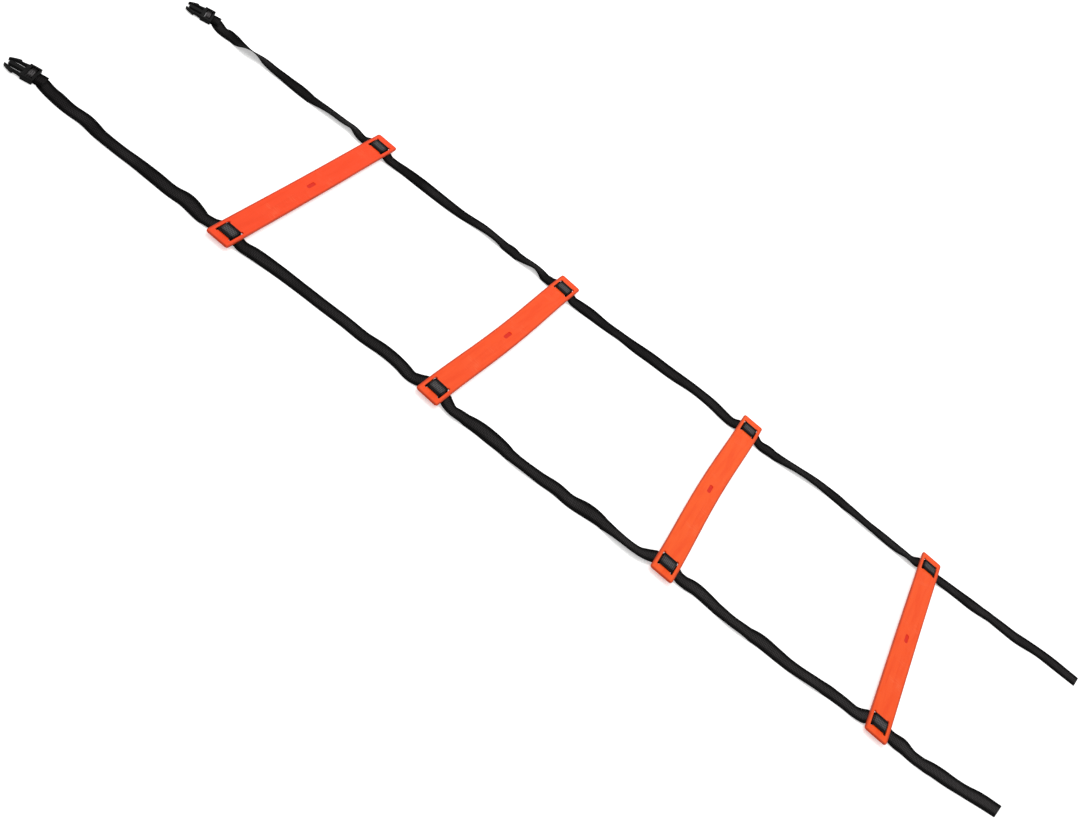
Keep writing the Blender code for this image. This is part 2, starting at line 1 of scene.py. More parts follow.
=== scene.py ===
import math
import bpy
import numpy as np
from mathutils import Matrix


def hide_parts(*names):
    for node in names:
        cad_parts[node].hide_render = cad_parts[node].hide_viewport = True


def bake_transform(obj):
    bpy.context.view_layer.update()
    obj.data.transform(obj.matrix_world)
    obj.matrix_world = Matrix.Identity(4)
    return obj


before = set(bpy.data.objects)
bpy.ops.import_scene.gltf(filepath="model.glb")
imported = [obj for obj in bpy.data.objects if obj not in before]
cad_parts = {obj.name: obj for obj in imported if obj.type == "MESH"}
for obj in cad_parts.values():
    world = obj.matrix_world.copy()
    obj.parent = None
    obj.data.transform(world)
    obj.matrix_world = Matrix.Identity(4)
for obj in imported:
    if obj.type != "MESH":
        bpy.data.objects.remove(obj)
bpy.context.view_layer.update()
print("frame loaded:", len(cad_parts), "solids")

# Places shared with the solids, in metres: +X from the buckles to the bare ends,
# +Y from the near strap to the far one, the floor at 0.
ladder = {
    "middleX": 0.021924,            # shift that centres the whole ladder over the origin
    "pitch": 0.365,
    "strapSpacing": 0.3865,
    "slatPlaces": (-1.490, -0.525, 0.513, 1.513),    # in pitches
    "slatSkew": (5.0, 8.2, 5.4, 5.9),                # degrees
    "slatBows": (0.02, 0.09, -0.10, -0.01),          # of each slat's middle, in slat widths
    "slatLow": 0.0058,              # underside of a slat, held off the floor by the stiff webbing
    "slatTop": 0.0090,
    "slatWidth": 0.037,
    "slatLength": 0.4425,
    "bridge": 0.019,                # bar between the two slots of a pair
    "slot": 0.0034,
    "seam": 0.0155,                 # slat middle to the place where the webbing starts to wander
    "drift": 0.0012,                # webbing off the slot middles, towards the near side
    "seatLift": 0.004,
    "air": 0.0003,                  # between pieces that bear on each other
}
sides = {"near": -1, "far": 1}
slatBodies = ["slat_1", "slat_2", "slat_3", "slat_4"]
webBodies = ["webbing_1", "webbing_2", "webbing_3", "webbing_4"]
slatX = [share * ladder["pitch"] + ladder["middleX"] for share in ladder["slatPlaces"]]
foldX = [(a + b) / 2 for a, b in zip(slatX, slatX[1:])]


def linear(hexColour):
    # each sRGB channel below 0.04045 is divided by 12.92, the rest raised to the power 2.4
    srgb = np.array([int(hexColour[k:k + 2], 16) for k in (1, 3, 5)]) / 255
    rgb = np.where(srgb <= 0.04045, srgb / 12.92, ((srgb + 0.055) / 1.055) ** 2.4)
    return (*rgb.tolist(), 1)


def addNode(tree, kind, links=None, **settings):
    node = tree.nodes.new(kind)
    for key, value in settings.items():
        setattr(node, key, value)
    for socket, source in (links or {}).items():
        if isinstance(source, bpy.types.NodeSocket):
            tree.links.new(source, node.inputs[socket])
        else:
            node.inputs[socket].default_value = source
    return node


def newMaterial(name):
    material = bpy.data.materials.new(name)
    material.use_nodes = True
    material.node_tree.nodes.clear()
    return material, material.node_tree


# Webbing: black polypropylene strap, 25 mm wide, woven flat on a narrow loom. The yarns float in
# columns of chevrons that lean left and right by turns, with a dark valley between columns, and
# the fibres scatter the light evenly, with no sharp highlight.
webbingLook = {
    "fibre": {"near": ("#2f2c2d", "#575454"), "far": ("#211f1f", "#403d3e")},
    "length": 1800,                 # mm over which the strap greys, from the buckle half on
    "wornAndHighlight": "#858182",         # worn patches, and the painted highlight where it is pulled tight over a bar
    "valley": "#020202",
    "selvedge": (9.5, 3.4),         # mm from each edge: painted shade sets in, and is darkest
    "edgeShadeShare": 0.14,              # of the light that is left there
    "sealed": "#141414",            # melted ends
    "sealedSmooth": 0.3,            # taken off the roughness there
    "column": 2.1,                  # mm, twelve columns across the width
    "lean": 0.85,                   # mm that a yarn goes along for each one across
    "pick": 2.4,                    # mm from chevron to chevron, drawn twice the real 1.2 to show
    "crown": 0.45,                  # power that rounds a column: 1 is a sine, less is flatter
    "fibreScale": (0.4, 6, 1),      # per mm along and across
    "fibreDepth": 0.25,             # of the weave's own relief
    "fibreShades": (0.5, 0.55),     # brightness: spread and least
    "patchScale": 22,               # per metre
    "patchSpan": (0.4, 0.7),
    "patchWear": 0.16,
    "relief": 0.00016,              # metres from valley to crown
    "roughness": 0.7,
    "specular": 0.025,              # far below a smooth face's: the yarns shade each other
}


def makeWebbingMaterial(name):
    look = webbingLook
    material, tree = newMaterial(f"woven_polypropylene_webbing_{name}")
    uv = addNode(tree, "ShaderNodeUVMap", uv_map="strap")
    parts = addNode(tree, "ShaderNodeSeparateXYZ", {0: uv.outputs[0]})
    along, across = parts.outputs[0], parts.outputs[1]
    halfWidth = strap["width"] / 2 * 1000               # mm, as the map
    lean = addNode(tree, "ShaderNodeMath", {0: across, 1: look["column"]}, operation="PINGPONG")
    slanted = addNode(tree, "ShaderNodeMath", {0: lean.outputs[0], 1: look["lean"],
                                               2: along}, operation="MULTIPLY_ADD")
    turned = addNode(tree, "ShaderNodeMath", {0: slanted.outputs[0],
                                              1: 2 * math.pi / look["pick"]}, operation="MULTIPLY")
    wave = addNode(tree, "ShaderNodeMath", {0: turned.outputs[0]}, operation="SINE")
    yarn = addNode(tree, "ShaderNodeMath", {0: wave.outputs[0], 1: 0.5, 2: 0.5},
                   operation="MULTIPLY_ADD")
    phase = addNode(tree, "ShaderNodeMath", {0: across, 1: math.pi / look["column"]},
                    operation="MULTIPLY")
    arch = addNode(tree, "ShaderNodeMath", {0: phase.outputs[0]}, operation="SINE")
    crown = addNode(tree, "ShaderNodeMath", {0: arch.outputs[0]}, operation="ABSOLUTE")
    ridge = addNode(tree, "ShaderNodeMath", {0: crown.outputs[0], 1: look["crown"]},
                    operation="POWER")
    height = addNode(tree, "ShaderNodeMath", {0: yarn.outputs[0], 1: ridge.outputs[0]},
                     operation="MULTIPLY")
    # single fibres: streaks 0.15 mm wide and a few millimetres long
    stretched = addNode(tree, "ShaderNodeMapping", {0: uv.outputs[0], "Scale": look["fibreScale"]})
    fibres = addNode(tree, "ShaderNodeTexNoise",
                     {"Vector": stretched.outputs[0], "Scale": 1.0, "Detail": 3})
    # handling: broad patches a few centimetres long where the strap is greyer
    place = addNode(tree, "ShaderNodeTexCoord")
    patches = addNode(tree, "ShaderNodeTexNoise",
                      {"Vector": place.outputs["Object"], "Scale": look["patchScale"],
                       "Detail": 2})
    # painted highlight: where the webbing is pulled tight over a bar it takes the lighter colour,
    # on top of the worn patches
    painted_highlight = addNode(tree, "ShaderNodeAttribute", attribute_name="painted_highlight")
    handled = addNode(tree, "ShaderNodeMapRange", {
        0: patches.outputs[0], 1: look["patchSpan"][0], 2: look["patchSpan"][1],
        3: 0.0, 4: look["patchWear"]})
    worn = addNode(tree, "ShaderNodeMath", {0: handled.outputs[0], 1: painted_highlight.outputs["Fac"]},
                   operation="ADD", use_clamp=True)
    # the dye has greyed towards the bare end, which is trodden on most
    greyed = addNode(tree, "ShaderNodeMapRange", {0: along, 1: 0, 2: look["length"]})
    dyed = addNode(tree, "ShaderNodeMix", {0: greyed.outputs[0], 6: linear(look["fibre"][name][0]),
                                           7: linear(look["fibre"][name][1])}, data_type="RGBA")
    fibre = addNode(tree, "ShaderNodeMix", {0: worn.outputs[0], 6: dyed.outputs[2],
                                            7: linear(look["wornAndHighlight"])}, data_type="RGBA")
    streaked = addNode(tree, "ShaderNodeMath", {
        0: fibres.outputs[0], 1: look["fibreShades"][0], 2: look["fibreShades"][1]},
        operation="MULTIPLY_ADD")
    lit = addNode(tree, "ShaderNodeMath", {0: height.outputs[0], 1: streaked.outputs[0]},
                  operation="MULTIPLY", use_clamp=True)
    # painted shade: the colour darkens towards both edges of the strap
    fromMiddle = addNode(tree, "ShaderNodeMath", {0: across, 1: halfWidth},
                         operation="SUBTRACT")
    offMiddle = addNode(tree, "ShaderNodeMath", {0: fromMiddle.outputs[0]}, operation="ABSOLUTE")
    selvedgeShade = addNode(tree, "ShaderNodeMapRange", {
        0: offMiddle.outputs[0], 1: halfWidth - look["selvedge"][0],
        2: halfWidth - look["selvedge"][1], 3: 1.0, 4: look["edgeShadeShare"]},
        interpolation_type="SMOOTHSTEP")
    shown = addNode(tree, "ShaderNodeMath", {0: lit.outputs[0], 1: selvedgeShade.outputs[0]},
                    operation="MULTIPLY")
    colour = addNode(tree, "ShaderNodeMix", {0: shown.outputs[0], 6: linear(look["valley"]),
                                             7: fibre.outputs[2]}, data_type="RGBA")
    relief = addNode(tree, "ShaderNodeMath", {0: fibres.outputs[0], 1: look["fibreDepth"],
                                              2: height.outputs[0]}, operation="MULTIPLY_ADD")
    bump = addNode(tree, "ShaderNodeBump", {"Height": relief.outputs[0], "Strength": 0.7,
                                            "Distance": look["relief"]})
    # the cut ends are melted so that they don't fray: smooth, nearly black and a little glossy
    sealed = addNode(tree, "ShaderNodeAttribute", attribute_name="sealed")
    ended = addNode(tree, "ShaderNodeMix", {0: sealed.outputs["Fac"], 6: colour.outputs[2],
                                            7: linear(look["sealed"])}, data_type="RGBA")
    gloss = addNode(tree, "ShaderNodeMath", {0: sealed.outputs["Fac"], 1: -look["sealedSmooth"],
                                             2: look["roughness"]}, operation="MULTIPLY_ADD")
    shader = addNode(tree, "ShaderNodeBsdfPrincipled", {
        "Base Color": ended.outputs[2], "Roughness": gloss.outputs[0], "IOR": 1.49,
        "Specular IOR Level": look["specular"], "Normal": bump.outputs[0]})
    addNode(tree, "ShaderNodeOutputMaterial", {0: shader.outputs[0]})
    return material


# Slat: polypropylene, injection moulded in bright orange red. The mould's faces were spark eroded,
# so the skin has a fine even grain and a satin gloss, broken by faint flow streaks and by light
# scuffs on the upper face from being trodden on and dragged.
slatLook = {
    "skins": ("#fc4814", "#fc5216", "#fd5b1a", "#fc5616"),    # from the first slat to the last
    "flow": "#f2400c",
    "scuff": "#ff7a4c",
    "paintedEdgeShade": "#a8300c",             # painted shade, darker along the outer edges
    "paintedShadeReach": 0.0030,
    "paintedShadeShare": (0.45, 0.80),     # at the edge itself: least, and more where it is patchy
    "recess": "#e02408",            # the plain recess in the middle was filled with red lacquer
    "recessSize": (0.0032, 0.0102),     # half its width and length, and a hair more
    "recessBand": (0.0012, 0.00045),    # its floor lies between these depths
    "flowScale": (160, 17, 90),     # per metre across, along and through: 6 mm wide, 60 mm long
    "flowSpan": (0.42, 0.75),
    "flowShare": 0.45,
    "scuffScale": (110, 1500, 400),     # per metre: about 9 mm long and 0.7 mm wide
    "scuffTurn": 0.5,               # radians
    "scuffSpan": (0.34, 0.44),
    "scuffShare": 0.35,
    "scuffDepth": 0.8,              # of a pit's depth
    "patchScale": 34,               # per metre
    "grain": 0.00045,               # metres from pit to pit, drawn three times the real size
    "grainDepth": 0.00009,          # metres
    "roughness": (0.40, 0.53),      # least and most, with the flow of the plastic
    "roughnessSpan": (0.3, 0.7),
    "specular": 0.2,
}


def makeSlatMaterial(index):
    look = slatLook
    material, tree = newMaterial(f"moulded_polypropylene_slat_{index + 1}")
    place = addNode(tree, "ShaderNodeTexCoord")
    # the slat's own axes: its middle at zero, its length along Y
    skew = math.radians(ladder["slatSkew"][index])
    slatAxes = addNode(tree, "ShaderNodeMapping", {
        0: place.outputs["Object"], "Location": (slatX[index], 0, 0), "Rotation": (0, 0, -skew)},
        vector_type="TEXTURE")
    parts = addNode(tree, "ShaderNodeSeparateXYZ", {0: slatAxes.outputs[0]})
    # flow streaks run with the length of the slat
    drawn = addNode(tree, "ShaderNodeMapping", {0: slatAxes.outputs[0],
                                                "Scale": look["flowScale"]})
    flow = addNode(tree, "ShaderNodeTexNoise", {"Vector": drawn.outputs[0], "Scale": 1.0,
                                                "Detail": 3, "Distortion": 0.6})
    streaks = addNode(tree, "ShaderNodeMapRange", {
        0: flow.outputs[0], 1: look["flowSpan"][0], 2: look["flowSpan"][1],
        3: 0.0, 4: look["flowShare"]})
    skin = addNode(tree, "ShaderNodeMix", {0: streaks.outputs[0],
                                           6: linear(look["skins"][index]),
                                           7: linear(look["flow"])}, data_type="RGBA")
    # scuffs: short scratches that lie across the slat and a little turned
    slanted = addNode(tree, "ShaderNodeMapping", {
        0: slatAxes.outputs[0], "Rotation": (0, 0, look["scuffTurn"]),
        "Scale": look["scuffScale"]})
    marks = addNode(tree, "ShaderNodeTexNoise", {"Vector": slanted.outputs[0], "Scale": 1.0,
                                                 "Detail": 2})
    fewer = addNode(tree, "ShaderNodeTexNoise", {
        "Vector": slatAxes.outputs[0], "Scale": look["patchScale"], "Detail": 2})
    both = addNode(tree, "ShaderNodeMath", {0: marks.outputs[0], 1: fewer.outputs[0]},
                   operation="MULTIPLY")
    scuffs = addNode(tree, "ShaderNodeMapRange", {
        0: both.outputs[0], 1: look["scuffSpan"][0], 2: look["scuffSpan"][1],
        3: 0.0, 4: look["scuffShare"]})
    worn = addNode(tree, "ShaderNodeMix", {0: scuffs.outputs[0], 6: skin.outputs[2],
                                           7: linear(look["scuff"])}, data_type="RGBA")
    # the slat's bowed middle line: its bow times (1 - t squared) squared, where t is the place
    # along the slat, 0 in the middle and 1 at the slots
    bow = ladder["slatBows"][index] * ladder["slatWidth"]
    offY = addNode(tree, "ShaderNodeMath", {0: parts.outputs[1]}, operation="ABSOLUTE")
    t = addNode(tree, "ShaderNodeMath", {0: offY.outputs[0], 1: 2 / ladder["strapSpacing"]},
                operation="MULTIPLY", use_clamp=True)
    squared = addNode(tree, "ShaderNodeMath", {0: t.outputs[0], 1: t.outputs[0]},
                      operation="MULTIPLY")
    left = addNode(tree, "ShaderNodeMath", {0: 1.0, 1: squared.outputs[0]}, operation="SUBTRACT")
    swell = addNode(tree, "ShaderNodeMath", {0: left.outputs[0], 1: left.outputs[0]},
                    operation="MULTIPLY")
    line = addNode(tree, "ShaderNodeMath", {0: swell.outputs[0], 1: bow}, operation="MULTIPLY")
    fromBow = addNode(tree, "ShaderNodeMath", {0: parts.outputs[0], 1: line.outputs[0]},
                      operation="SUBTRACT")
    offX = addNode(tree, "ShaderNodeMath", {0: fromBow.outputs[0]}, operation="ABSOLUTE")
    # painted shade: the colour darkens within a few millimetres of the outer edges, in patches
    sideEdge = addNode(tree, "ShaderNodeMapRange", {
        0: offX.outputs[0], 1: ladder["slatWidth"] / 2 - look["paintedShadeReach"],
        2: ladder["slatWidth"] / 2, 3: 0.0, 4: 1.0})
    endEdge = addNode(tree, "ShaderNodeMapRange", {
        0: offY.outputs[0], 1: ladder["slatLength"] / 2 - look["paintedShadeReach"],
        2: ladder["slatLength"] / 2, 3: 0.0, 4: 1.0})
    nearEdge = addNode(tree, "ShaderNodeMath", {0: sideEdge.outputs[0], 1: endEdge.outputs[0]},
                       operation="MAXIMUM")
    share = addNode(tree, "ShaderNodeMath", {0: fewer.outputs[0], 1: look["paintedShadeShare"][1],
                                             2: look["paintedShadeShare"][0]}, operation="MULTIPLY_ADD")
    edgeShading = addNode(tree, "ShaderNodeMath", {0: nearEdge.outputs[0], 1: share.outputs[0]},
                   operation="MULTIPLY", use_clamp=True)
    edged = addNode(tree, "ShaderNodeMix", {0: edgeShading.outputs[0], 6: worn.outputs[2],
                                            7: linear(look["paintedEdgeShade"])}, data_type="RGBA")
    # recess floor: just below the upper face, in the middle of the slat
    inX = addNode(tree, "ShaderNodeMath", {0: offX.outputs[0], 1: look["recessSize"][0]},
                  operation="LESS_THAN")
    inY = addNode(tree, "ShaderNodeMath", {0: offY.outputs[0], 1: look["recessSize"][1]},
                  operation="LESS_THAN")
    bottom, top = ladder["slatTop"] - np.array(look["recessBand"])
    low = addNode(tree, "ShaderNodeMath", {0: parts.outputs[2], 1: top}, operation="LESS_THAN")
    high = addNode(tree, "ShaderNodeMath", {0: parts.outputs[2], 1: bottom},
                   operation="GREATER_THAN")
    flat = addNode(tree, "ShaderNodeMath", {0: inX.outputs[0], 1: inY.outputs[0]},
                   operation="MULTIPLY")
    band = addNode(tree, "ShaderNodeMath", {0: low.outputs[0], 1: high.outputs[0]},
                   operation="MULTIPLY")
    filled = addNode(tree, "ShaderNodeMath", {0: flat.outputs[0], 1: band.outputs[0]},
                     operation="MULTIPLY")
    colour = addNode(tree, "ShaderNodeMix", {0: filled.outputs[0], 6: edged.outputs[2],
                                             7: linear(look["recess"])}, data_type="RGBA")
    grain = addNode(tree, "ShaderNodeTexVoronoi", {"Vector": place.outputs["Object"],
                                                   "Scale": 1 / look["grain"]})
    pits = addNode(tree, "ShaderNodeMath", {0: scuffs.outputs[0], 1: -look["scuffDepth"],
                                            2: grain.outputs[0]}, operation="MULTIPLY_ADD")
    bump = addNode(tree, "ShaderNodeBump", {"Height": pits.outputs[0], "Strength": 0.5,
                                            "Distance": look["grainDepth"]})
    gloss = addNode(tree, "ShaderNodeMapRange", {
        0: flow.outputs[0], 1: look["roughnessSpan"][0], 2: look["roughnessSpan"][1],
        3: look["roughness"][0], 4: look["roughness"][1]})
    shader = addNode(tree, "ShaderNodeBsdfPrincipled", {
        "Base Color": colour.outputs[2], "Roughness": gloss.outputs[0], "IOR": 1.49,
        "Specular IOR Level": look["specular"], "Normal": bump.outputs[0]})
    addNode(tree, "ShaderNodeOutputMaterial", {0: shader.outputs[0]})
    return material


# Buckle half: acetal, injection moulded in black. Denser and harder than the slats, with a
# smoother satin skin that takes a clear soft highlight, finely hazed by sliding in its socket.
buckleLook = {
    "skin": "#050505",
    "haze": "#151413",
    "roughness": (0.34, 0.54),      # least and most, with handling
    "roughnessSpan": (0.3, 0.8),
    "specular": 0.08,
    "grain": 0.0003,                # metres from pit to pit
    "grainDepth": 0.00005,
    "patchScale": 210,              # per metre: where hands and the socket have hazed it
    "patchSpan": (0.45, 0.8),
    "patchShare": 0.5,
}


def makeBuckleMaterial():
    look = buckleLook
    material, tree = newMaterial("moulded_acetal_buckle")
    place = addNode(tree, "ShaderNodeTexCoord")
    grain = addNode(tree, "ShaderNodeTexNoise", {"Vector": place.outputs["Object"],
                                                 "Scale": 1 / look["grain"], "Detail": 2})
    handled = addNode(tree, "ShaderNodeTexNoise", {"Vector": place.outputs["Object"],
                                                   "Scale": look["patchScale"], "Detail": 4})
    haze = addNode(tree, "ShaderNodeMapRange", {
        0: handled.outputs[0], 1: look["patchSpan"][0], 2: look["patchSpan"][1],
        3: 0.0, 4: look["patchShare"]})
    colour = addNode(tree, "ShaderNodeMix", {0: haze.outputs[0], 6: linear(look["skin"]),
                                             7: linear(look["haze"])}, data_type="RGBA")
    gloss = addNode(tree, "ShaderNodeMapRange", {
        0: handled.outputs[0], 1: look["roughnessSpan"][0], 2: look["roughnessSpan"][1],
        3: look["roughness"][0], 4: look["roughness"][1]})
    bump = addNode(tree, "ShaderNodeBump", {"Height": grain.outputs[0], "Strength": 0.25,
                                            "Distance": look["grainDepth"]})
    shader = addNode(tree, "ShaderNodeBsdfPrincipled", {
        "Base Color": colour.outputs[2], "Roughness": gloss.outputs[0], "IOR": 1.48,
        "Specular IOR Level": look["specular"], "Normal": bump.outputs[0]})
    addNode(tree, "ShaderNodeOutputMaterial", {0: shader.outputs[0]})
    return material


# Strap: one continuous length of webbing on each side, from the free end in the buckle half,
# through every slat, to the bare end.
strap = {
    "width": 0.025,
    "thickness": 0.0015,
    "selvedge": 0.0009,             # the edges are rounded over this width
    "bevel": 0.0006,                # the solids' edges are cut off over this one
    "rib": 0.07,                    # depth of the valleys between columns, in half thicknesses
    "ribWidth": 0.0021,
    "acrossSteps": 48,
    "crowding": 0.1,                # share by which these draw together at the selvedges
    "alongStep": 0.0022,
    "bendSteps": 7,                 # places round each edge of a bar
    "levelSteps": (9, 5, 10),       # over a bridge bar, inside the buckle half, along the free end
    "slopeStep": 0.002,             # reach to each side over which its direction is taken
    "sharpDegrees": 50,
    "lead": 0.003,                  # straight out of each slat before it wanders
    "creaseLead": 0.002,
    "sealLength": 0.0016,
    "sealThin": 0.8,                # a melted end thins to a rounded bead
    "cutSlant": {"near": 26, "far": 18},    # degrees off square, the far corner ahead
    "cutPivot": 0.006,              # turned about this place, towards the far corner
    "cutReach": 0.020,              # the last stations lean with it over this length
    "ease": 0.006,                  # distance over which a strap's turns even out
    "heldReach": 0.010,             # and over which that sets in beside a slat or a crease
    "buckleReach": 0.3655,
    "buckleLength": 0.042,
    "hingeGap": 0.0040,
    "buckleTurn": {"near": 15, "far": 19},
    "buckleShift": {"near": 0.0200, "far": 0.0105},
    "tail": {"near": 0.214, "far": 0.312},
    "tag": 0.008,
    "tuck": (-0.002, 0.001),        # level run inside the buckle half: from here to before the bar
    "highlightReach": (0.0105, 0.002),  # painted highlight where it is pulled tight this near to a slat's middle, less over the last
    "highlightHigh": (0.0045, 0.0008),  # and in the buckle half above this height, more over the next
    "highlightLength": 0.045,
    "centreBar": (-0.0140, -0.0104, 0.00105, 0.00365),   # front face, rear face, low, high
    "rearBar": (-0.0071, 0.00285),                       # front face, low
    "slideZone": (0.0205, 0.092),   # where the webbing gives as a slat is slid along it
    "swingZone": (-0.003, 0.007),   # where it bends behind a buckle half
    # where it bends at each fold, mostly on the side that is lifted: the loop stays on the floor
    "foldZones": ((-0.030, 0.010), (-0.023, 0.023), (-0.010, 0.030)),
    "foldCut": 0.045,
}

# how each loose stretch lies: share of its length, sideways in webbing widths,
# roll in degrees (far edge up), lift in webbing widths
nearLies = {
    "start": ((0.03, -0.10, 0, 0.00), (0.05, -0.15, 0, 0.00), (0.10, -0.25, 6, 0.00),
              (0.18, -0.28, 3, 0.00), (0.27, -0.17, 5, 0.02), (0.36, -0.28, -1, 0.00),
              (0.45, -0.26, -1, 0.00), (0.55, -0.19, 2, 0.02), (0.66, -0.17, 7, 0.00),
              (0.76, -0.16, 7, 0.00), (0.83, -0.07, 18, 0.00), (0.90, -0.17, 9, 0.02),
              (0.95, -0.20, -2, 0.03), (0.98, -0.05, 0, 0.06)),
    "12": ((0.02, 0.02, 0, 0.07), (0.08, 0.08, 6, 0.04), (0.19, 0.20, 4, 0.00),
           (0.32, 0.21, 0, 0.00), (0.46, 0.15, 0, 0.00), (0.57, 0.13, 0, 0.00),
           (0.67, 0.03, 0, 0.00), (0.78, 0.08, 3, 0.02), (0.88, -0.05, 1, 0.02),
           (0.95, -0.32, 0, 0.03), (0.98, -0.15, 0, 0.06)),
    "23": ((0.02, -0.19, -6, 0.03), (0.045, -0.35, -6, 0.01), (0.08, -0.26, -5, 0.02),
           (0.16, -0.20, 10, 0.00), (0.22, -0.26, 13, 0.00), (0.29, -0.30, 5, 0.02),
           (0.35, -0.42, -5, 0.00), (0.45, -0.41, -2, 0.00), (0.54, -0.36, 4, 0.02),
           (0.61, -0.46, 4, 0.00), (0.68, -0.38, 15, 0.00), (0.75, -0.28, 4, 0.02),
           (0.82, -0.43, -11, 0.00), (0.89, -0.52, -15, 0.00), (0.95, -0.44, -13, 0.00),
           (0.98, -0.18, -8, 0.03)),
    "34": ((0.02, -0.05, 0, 0.07), (0.045, -0.09, -1, 0.05), (0.09, 0.04, 5, 0.02),
           (0.19, -0.08, 2, 0.00), (0.30, -0.29, -6, 0.00), (0.37, -0.28, -4, 0.02),
           (0.44, -0.23, 8, 0.00), (0.54, -0.29, 4, 0.00), (0.65, -0.32, -3, 0.00),
           (0.73, -0.26, -4, 0.02), (0.80, -0.14, 1, 0.00), (0.88, -0.13, -1, 0.00),
           (0.92, -0.17, -1, 0.01), (0.95, -0.26, -2, 0.03), (0.98, -0.15, 0, 0.06)),
    "end": ((0.03, -0.04, 3, 0.08), (0.06, -0.10, 9, 0.03), (0.13, -0.06, 15, 0.00),
            (0.22, -0.13, 2, 0.00), (0.30, -0.15, -2, 0.00), (0.40, -0.08, 5, 0.02),
            (0.50, -0.03, 9, 0.00), (0.62, 0.09, 2, 0.02), (0.72, 0.21, 2, 0.00),
            (0.83, 0.32, 9, 0.00), (1.00, 0.48, 6, 0.00)),
}
farLies = {
    "start": ((0.03, -0.21, 0, 0.00), (0.05, -0.36, 0, 0.00), (0.09, -0.43, 10, 0.00),
              (0.14, -0.29, 3, 0.02), (0.19, -0.38, -6, 0.00), (0.25, -0.45, -34, 0.00),
              (0.31, -0.16, -14, 0.00), (0.38, -0.20, -7, 0.00), (0.47, -0.15, -1, 0.02),
              (0.58, -0.19, 6, 0.00), (0.66, -0.12, -4, 0.00), (0.74, -0.02, -13, 0.00),
              (0.85, 0.08, -14, 0.00), (0.90, 0.13, -17, 0.02), (0.935, -0.03, -11, 0.02),
              (0.965, -0.15, -5, 0.03), (0.98, -0.10, -1, 0.06)),
    "12": ((0.02, -0.05, 0, 0.07), (0.04, -0.03, -1, 0.05), (0.10, 0.07, 2, 0.02),
           (0.20, 0.03, 8, 0.00), (0.30, 0.00, 7, 0.00), (0.40, 0.00, 3, 0.02),
           (0.50, 0.17, -2, 0.00), (0.58, 0.30, -4, 0.02), (0.66, 0.24, -9, 0.00),
           (0.75, 0.17, 5, 0.00), (0.82, 0.14, -8, 0.00), (0.89, 0.27, -16, 0.00),
           (0.94, 0.12, -5, 0.02), (0.965, -0.02, 6, 0.02), (0.98, -0.08, 7, 0.03)),
    "23": ((0.02, -0.03, 1, 0.07), (0.04, -0.04, 5, 0.05), (0.12, 0.03, 10, 0.00),
           (0.20, 0.06, 3, 0.00), (0.31, 0.14, 0, 0.02), (0.39, 0.06, 8, 0.00),
           (0.48, 0.11, 11, 0.00), (0.55, 0.10, 11, 0.00), (0.61, 0.13, 10, 0.00),
           (0.72, 0.32, 3, 0.02), (0.79, 0.30, 4, 0.00), (0.86, 0.16, 6, 0.00),
           (0.92, -0.08, 4, 0.03), (0.95, -0.13, 3, 0.03), (0.98, -0.19, 4, 0.05)),
    "34": ((0.02, -0.15, 0, 0.06), (0.045, -0.16, 1, 0.03), (0.08, -0.10, 4, 0.03),
           (0.17, 0.02, -6, 0.00), (0.26, 0.19, -11, 0.00), (0.36, 0.36, -6, 0.02),
           (0.45, 0.43, -1, 0.00), (0.53, 0.34, 1, 0.00), (0.60, 0.19, -5, 0.02),
           (0.71, 0.04, -7, 0.00), (0.80, 0.02, -2, 0.00), (0.88, -0.07, -5, 0.00),
           (0.92, -0.09, -12, 0.00), (0.95, -0.17, -14, 0.00), (0.98, -0.16, -5, 0.04)),
    "end": ((0.02, -0.01, 0, 0.08), (0.05, 0.08, 0, 0.04), (0.15, 0.13, 2, 0.00),
            (0.25, 0.07, 7, 0.00), (0.37, 0.26, -1, 0.02), (0.46, 0.23, 3, 0.00),
            (0.56, 0.17, 5, 0.00), (0.62, 0.28, 3, 0.02), (0.71, 0.48, 1, 0.00),
            (0.82, 0.45, 5, 0.00), (0.91, 0.42, 4, 0.00), (1.00, 0.40, 2, 0.00)),
}
lies = {"near": nearLies, "far": farLies}
# radius of the webbing's middle line on the edge of a bar
middleBend = strap["thickness"] / 2 + ladder["air"]


def turnedFrame(place, turnDegrees):
    # axes of a slat or a buckle half in the world: columns are its length way, sideways and up
    a = math.radians(turnDegrees)
    axes = np.array([[math.cos(a), -math.sin(a), 0], [math.sin(a), math.cos(a), 0], [0, 0, 1]])
    return np.array(place, float), axes


slatFrames = [turnedFrame((x, 0, 0), -skew) for x, skew in zip(slatX, ladder["slatSkew"])]


def toWorld(axesFrame, points):
    place, axes = axesFrame
    return np.asarray(points, float) @ axes.T + place


def bend(centre, startDegrees, endDegrees):
    # points (x, z) on the arc that the webbing's middle takes round one edge of a bar
    angle = np.radians(np.linspace(startDegrees, endDegrees, strap["bendSteps"]))
    return np.stack([centre[0] + middleBend * np.cos(angle),
                     centre[1] + middleBend * np.sin(angle)], axis=1)


def crossing(first, second):
    # slope of the straight between two bends that turn opposite ways: the slope from centre to
    # centre, plus the angle whose sine is two bend radii over their distance
    apart = np.subtract(second, first)
    return math.degrees(math.atan2(apart[1], apart[0])
                        + math.asin(2 * middleBend / np.hypot(*apart)))


def wovenPath():
    # (x, z) under one lip, up a slot, over the bridge bar, down the other slot, under the lip
    lip = (-ladder["bridge"] / 2 - ladder["slot"], ladder["slatLow"])
    bar = (-ladder["bridge"] / 2, ladder["slatTop"])
    slope = crossing(lip, bar)
    rise = np.concatenate([[(-ladder["seam"] + ladder["air"] / 2, lip[1] - middleBend)],
                           bend(lip, -90, slope - 90), bend(bar, slope + 90, 90)])
    over = np.linspace(rise[-1], rise[-1] * (-1, 1), strap["levelSteps"][0])[1:-1]
    return np.concatenate([rise, over, rise[::-1] * (-1, 1)])


